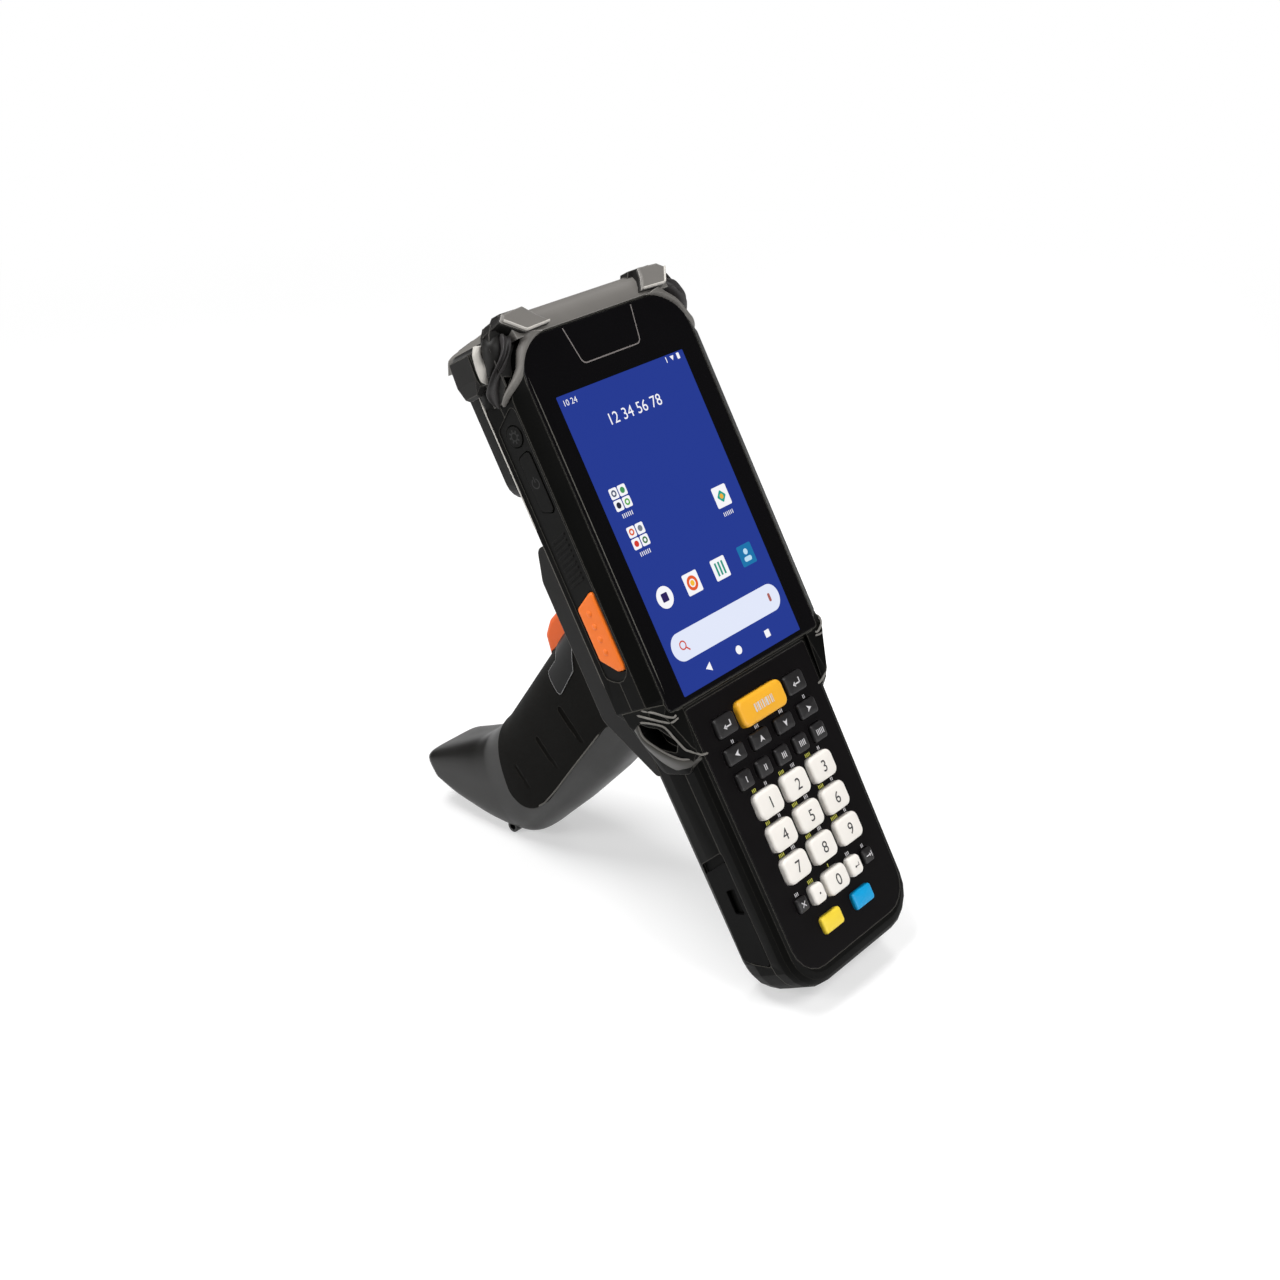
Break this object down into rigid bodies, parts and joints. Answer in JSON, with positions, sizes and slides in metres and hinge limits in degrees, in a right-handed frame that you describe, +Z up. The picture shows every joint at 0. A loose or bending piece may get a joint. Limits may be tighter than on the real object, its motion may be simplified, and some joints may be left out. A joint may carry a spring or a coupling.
{
  "type": "handheld barcode data terminal",
  "caption": "Portable barcode data terminal: touch screen over a raised key bank, rubber corner bumpers, side scan triggers and a rear pistol grip with a pull trigger.",
  "frame": {"origin": "bottom centre of the standing terminal's box, on the surface on which its keypad end and its grip's eyelet rest", "axes": "+Z up; -Y towards the side that the screen and keys face; +X to the right of the screen"},
  "size_m": [0.0856, 0.1792, 0.1982],
  "materials": {
    "housing": "fine spark-eroded black, slightly satin",
    "bumper_rubber": "satin charcoal with lighter worn edges",
    "grip_rubber": "matt, finely grained",
    "grip_satin": "smooth satin charcoal",
    "satin_grey": "satin mid grey",
    "cover_glass": "black-bordered cover glass, polished",
    "scan_glass": "dark red filter, polished",
    "lcd": "lit blue picture",
    "board": "green solder mask",
    "keypad_plate": "satin violet-grey",
    "silicone": "matt grey silicone",
    "key_dark": "satin dark grey, printed legends",
    "key_ivory": "satin ivory, dark printed digits",
    "key_amber": "satin amber",
    "key_yellow": "satin yellow",
    "key_blue": "satin blue",
    "orange": "satin orange",
    "steel": "bright drawn wire and ground pin"
  },
  "bodies": {
    "housing": {"front_frame": "housing", "display_glass": "cover_glass", "display_panel": "lcd", "main_board": "board", "rear_shell": "housing", "keypad_bezel": "keypad_plate", "keypad_mat": "silicone", "head_cover": "satin_grey", "scan_window": "scan_glass", "scan_engine": "housing", "bumper_left": "bumper_rubber", "bumper_right": "bumper_rubber", "strap_pod_left": "housing", "strap_pod_right": "housing", "side_panel_left": "housing", "side_panel_right": "housing", "battery_pack": "housing", "grip_mount": "housing", "grip_shell_left": "grip_rubber", "grip_shell_right": "grip_rubber", "grip_back_strap": "grip_satin", "trigger_pin": "steel", "trigger_spring": "steel", "trigger_bezel": "satin_grey", "lanyard_eyelet": "housing"},
    "key_enter_left": {"key_enter_left": "key_dark"},
    "key_enter_right": {"key_enter_right": "key_dark"},
    "key_scan": {"key_scan": "key_amber"},
    "key_left": {"key_left": "key_dark"},
    "key_up": {"key_up": "key_dark"},
    "key_down": {"key_down": "key_dark"},
    "key_right": {"key_right": "key_dark"},
    "key_f1": {"key_f1": "key_dark"},
    "key_f2": {"key_f2": "key_dark"},
    "key_f3": {"key_f3": "key_dark"},
    "key_f4": {"key_f4": "key_dark"},
    "key_f5": {"key_f5": "key_dark"},
    "key_1": {"key_1": "key_ivory"},
    "key_2": {"key_2": "key_ivory"},
    "key_3": {"key_3": "key_ivory"},
    "key_4": {"key_4": "key_ivory"},
    "key_5": {"key_5": "key_ivory"},
    "key_6": {"key_6": "key_ivory"},
    "key_7": {"key_7": "key_ivory"},
    "key_8": {"key_8": "key_ivory"},
    "key_9": {"key_9": "key_ivory"},
    "key_escape": {"key_escape": "key_dark"},
    "key_tab": {"key_tab": "key_dark"},
    "key_point": {"key_point": "key_ivory"},
    "key_back": {"key_back": "key_ivory"},
    "key_0": {"key_0": "key_ivory"},
    "key_yellow": {"key_yellow": "key_yellow"},
    "key_blue": {"key_blue": "key_blue"},
    "side_trigger_left": {"side_trigger_left": "orange"},
    "side_trigger_right": {"side_trigger_right": "orange"},
    "power_button": {"power_button": "housing"},
    "function_button": {"function_button": "housing"},
    "battery_latch_left": {"battery_latch_left": "housing"},
    "battery_latch_right": {"battery_latch_right": "housing"},
    "trigger": {"trigger": "orange"}
  },
  "joints": [
    {"name": "key_enter_left_press", "type": "slide", "parent": "housing", "child": "key_enter_left", "axis": [0, 0.8637, -0.504], "range_m": [0, 0.0008], "stiffness_N_per_m": 500, "springref_m": -0.0004},
    {"name": "key_enter_right_press", "type": "slide", "parent": "housing", "child": "key_enter_right", "axis": [0, 0.8637, -0.504], "range_m": [0, 0.0008], "stiffness_N_per_m": 500, "springref_m": -0.0004},
    {"name": "key_scan_press", "type": "slide", "parent": "housing", "child": "key_scan", "axis": [0, 0.8637, -0.504], "range_m": [0, 0.0008], "stiffness_N_per_m": 500, "springref_m": -0.0004},
    {"name": "key_left_press", "type": "slide", "parent": "housing", "child": "key_left", "axis": [0, 0.8637, -0.504], "range_m": [0, 0.0008], "stiffness_N_per_m": 500, "springref_m": -0.0004},
    {"name": "key_up_press", "type": "slide", "parent": "housing", "child": "key_up", "axis": [0, 0.8637, -0.504], "range_m": [0, 0.0008], "stiffness_N_per_m": 500, "springref_m": -0.0004},
    {"name": "key_down_press", "type": "slide", "parent": "housing", "child": "key_down", "axis": [0, 0.8637, -0.504], "range_m": [0, 0.0008], "stiffness_N_per_m": 500, "springref_m": -0.0004},
    {"name": "key_right_press", "type": "slide", "parent": "housing", "child": "key_right", "axis": [0, 0.8637, -0.504], "range_m": [0, 0.0008], "stiffness_N_per_m": 500, "springref_m": -0.0004},
    {"name": "key_f1_press", "type": "slide", "parent": "housing", "child": "key_f1", "axis": [0, 0.8637, -0.504], "range_m": [0, 0.0008], "stiffness_N_per_m": 500, "springref_m": -0.0004},
    {"name": "key_f2_press", "type": "slide", "parent": "housing", "child": "key_f2", "axis": [0, 0.8637, -0.504], "range_m": [0, 0.0008], "stiffness_N_per_m": 500, "springref_m": -0.0004},
    {"name": "key_f3_press", "type": "slide", "parent": "housing", "child": "key_f3", "axis": [0, 0.8637, -0.504], "range_m": [0, 0.0008], "stiffness_N_per_m": 500, "springref_m": -0.0004},
    {"name": "key_f4_press", "type": "slide", "parent": "housing", "child": "key_f4", "axis": [0, 0.8637, -0.504], "range_m": [0, 0.0008], "stiffness_N_per_m": 500, "springref_m": -0.0004},
    {"name": "key_f5_press", "type": "slide", "parent": "housing", "child": "key_f5", "axis": [0, 0.8637, -0.504], "range_m": [0, 0.0008], "stiffness_N_per_m": 500, "springref_m": -0.0004},
    {"name": "key_1_press", "type": "slide", "parent": "housing", "child": "key_1", "axis": [0, 0.8637, -0.504], "range_m": [0, 0.0008], "stiffness_N_per_m": 500, "springref_m": -0.0004},
    {"name": "key_2_press", "type": "slide", "parent": "housing", "child": "key_2", "axis": [0, 0.8637, -0.504], "range_m": [0, 0.0008], "stiffness_N_per_m": 500, "springref_m": -0.0004},
    {"name": "key_3_press", "type": "slide", "parent": "housing", "child": "key_3", "axis": [0, 0.8637, -0.504], "range_m": [0, 0.0008], "stiffness_N_per_m": 500, "springref_m": -0.0004},
    {"name": "key_4_press", "type": "slide", "parent": "housing", "child": "key_4", "axis": [0, 0.8637, -0.504], "range_m": [0, 0.0008], "stiffness_N_per_m": 500, "springref_m": -0.0004},
    {"name": "key_5_press", "type": "slide", "parent": "housing", "child": "key_5", "axis": [0, 0.8637, -0.504], "range_m": [0, 0.0008], "stiffness_N_per_m": 500, "springref_m": -0.0004},
    {"name": "key_6_press", "type": "slide", "parent": "housing", "child": "key_6", "axis": [0, 0.8637, -0.504], "range_m": [0, 0.0008], "stiffness_N_per_m": 500, "springref_m": -0.0004},
    {"name": "key_7_press", "type": "slide", "parent": "housing", "child": "key_7", "axis": [0, 0.8637, -0.504], "range_m": [0, 0.0008], "stiffness_N_per_m": 500, "springref_m": -0.0004},
    {"name": "key_8_press", "type": "slide", "parent": "housing", "child": "key_8", "axis": [0, 0.8637, -0.504], "range_m": [0, 0.0008], "stiffness_N_per_m": 500, "springref_m": -0.0004},
    {"name": "key_9_press", "type": "slide", "parent": "housing", "child": "key_9", "axis": [0, 0.8637, -0.504], "range_m": [0, 0.0008], "stiffness_N_per_m": 500, "springref_m": -0.0004},
    {"name": "key_escape_press", "type": "slide", "parent": "housing", "child": "key_escape", "axis": [0, 0.8637, -0.504], "range_m": [0, 0.0008], "stiffness_N_per_m": 500, "springref_m": -0.0004},
    {"name": "key_tab_press", "type": "slide", "parent": "housing", "child": "key_tab", "axis": [0, 0.8637, -0.504], "range_m": [0, 0.0008], "stiffness_N_per_m": 500, "springref_m": -0.0004},
    {"name": "key_point_press", "type": "slide", "parent": "housing", "child": "key_point", "axis": [0, 0.8637, -0.504], "range_m": [0, 0.0008], "stiffness_N_per_m": 500, "springref_m": -0.0004},
    {"name": "key_back_press", "type": "slide", "parent": "housing", "child": "key_back", "axis": [0, 0.8637, -0.504], "range_m": [0, 0.0008], "stiffness_N_per_m": 500, "springref_m": -0.0004},
    {"name": "key_0_press", "type": "slide", "parent": "housing", "child": "key_0", "axis": [0, 0.8637, -0.504], "range_m": [0, 0.0008], "stiffness_N_per_m": 500, "springref_m": -0.0004},
    {"name": "key_yellow_press", "type": "slide", "parent": "housing", "child": "key_yellow", "axis": [0, 0.8637, -0.504], "range_m": [0, 0.0008], "stiffness_N_per_m": 500, "springref_m": -0.0004},
    {"name": "key_blue_press", "type": "slide", "parent": "housing", "child": "key_blue", "axis": [0, 0.8637, -0.504], "range_m": [0, 0.0008], "stiffness_N_per_m": 500, "springref_m": -0.0004},
    {"name": "side_trigger_left_press", "type": "slide", "parent": "housing", "child": "side_trigger_left", "axis": [1, 0, 0], "range_m": [0, 0.0008], "stiffness_N_per_m": 900, "springref_m": -0.0006},
    {"name": "power_button_press", "type": "slide", "parent": "housing", "child": "power_button", "axis": [1, 0, 0], "range_m": [0, 0.0008], "stiffness_N_per_m": 900, "springref_m": -0.0006},
    {"name": "function_button_press", "type": "slide", "parent": "housing", "child": "function_button", "axis": [1, 0, 0], "range_m": [0, 0.0008], "stiffness_N_per_m": 900, "springref_m": -0.0006},
    {"name": "side_trigger_right_press", "type": "slide", "parent": "housing", "child": "side_trigger_right", "axis": [-1, 0, 0], "range_m": [0, 0.0008], "stiffness_N_per_m": 900, "springref_m": -0.0006},
    {"name": "battery_latch_left_slide", "type": "slide", "parent": "housing", "child": "battery_latch_left", "axis": [0, 0.504, 0.8637], "range_m": [0, 0.0025]},
    {"name": "battery_latch_right_slide", "type": "slide", "parent": "housing", "child": "battery_latch_right", "axis": [0, 0.504, 0.8637], "range_m": [0, 0.0025]},
    {"name": "trigger_pull", "type": "hinge", "parent": "housing", "child": "trigger", "pos_m": [0, 0.00732, 0.09653], "axis": [-1, 0, 0], "range_deg": [0, 7], "stiffness_Nm_per_rad": 0.9, "springref_deg": -5.73, "deforming": ["trigger_spring"]}
  ]
}
